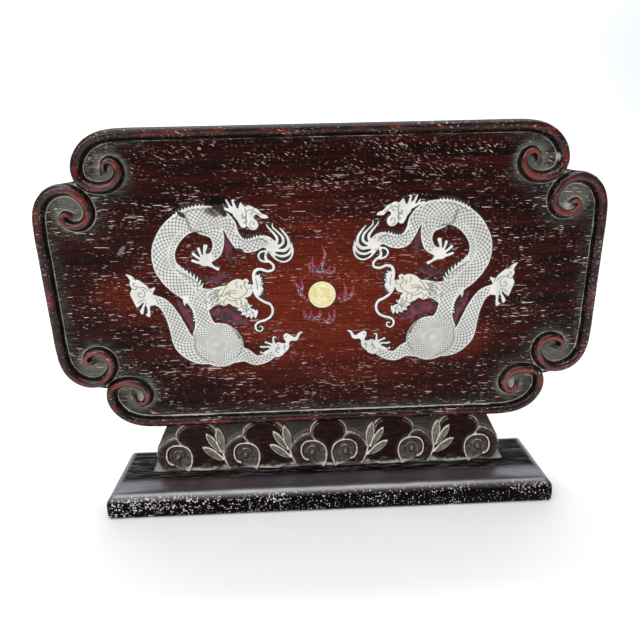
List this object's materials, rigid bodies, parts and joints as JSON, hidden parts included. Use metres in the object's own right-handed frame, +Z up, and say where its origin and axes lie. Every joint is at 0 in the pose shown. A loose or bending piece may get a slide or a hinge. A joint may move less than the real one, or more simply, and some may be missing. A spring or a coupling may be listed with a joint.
{
  "type": "table screen",
  "caption": "Low hardwood table screen: a notched board with a carved bead and corner scrolls, inlaid with facing shell dragons and a flaming disc, on a carved apron and a flat plinth.",
  "frame": {"origin": "middle of the plinth's underside", "axes": "+X along the screen to the viewer's right, -Y out of the inlaid front, +Z up"},
  "size_m": [0.3, 0.0502, 0.202],
  "materials": {
    "rosewood": "oiled and waxed dark red-brown hardwood with open pores, satin",
    "dark_rosewood": "the same hardwood, nearly black, with dust in the carving",
    "shell": "mother-of-pearl with fine black engraving, polished",
    "pale_yellow": "pale yellow shell or bone, lightly engraved",
    "dyed_red": "dyed dark magenta horn or shell, smooth"
  },
  "bodies": {
    "root": {"plinth": "dark_rosewood", "apron": "dark_rosewood", "panel": "rosewood", "pearl_disc": "pale_yellow", "pearl_flame_top": "dyed_red", "pearl_flame_left": "dyed_red", "pearl_flame_right": "dyed_red", "pearl_flame_low_left": "dyed_red", "pearl_flame_low_right": "dyed_red", "dragon_left": "shell", "flame_left_wisp": "dyed_red", "flame_left_brow": "dyed_red", "flame_left_throat": "dyed_red", "flame_left_flank": "dyed_red", "dragon_right": "shell", "flame_right_wisp": "dyed_red", "flame_right_brow": "dyed_red", "flame_right_throat": "dyed_red", "flame_right_flank": "dyed_red"}
  },
  "joints": []
}
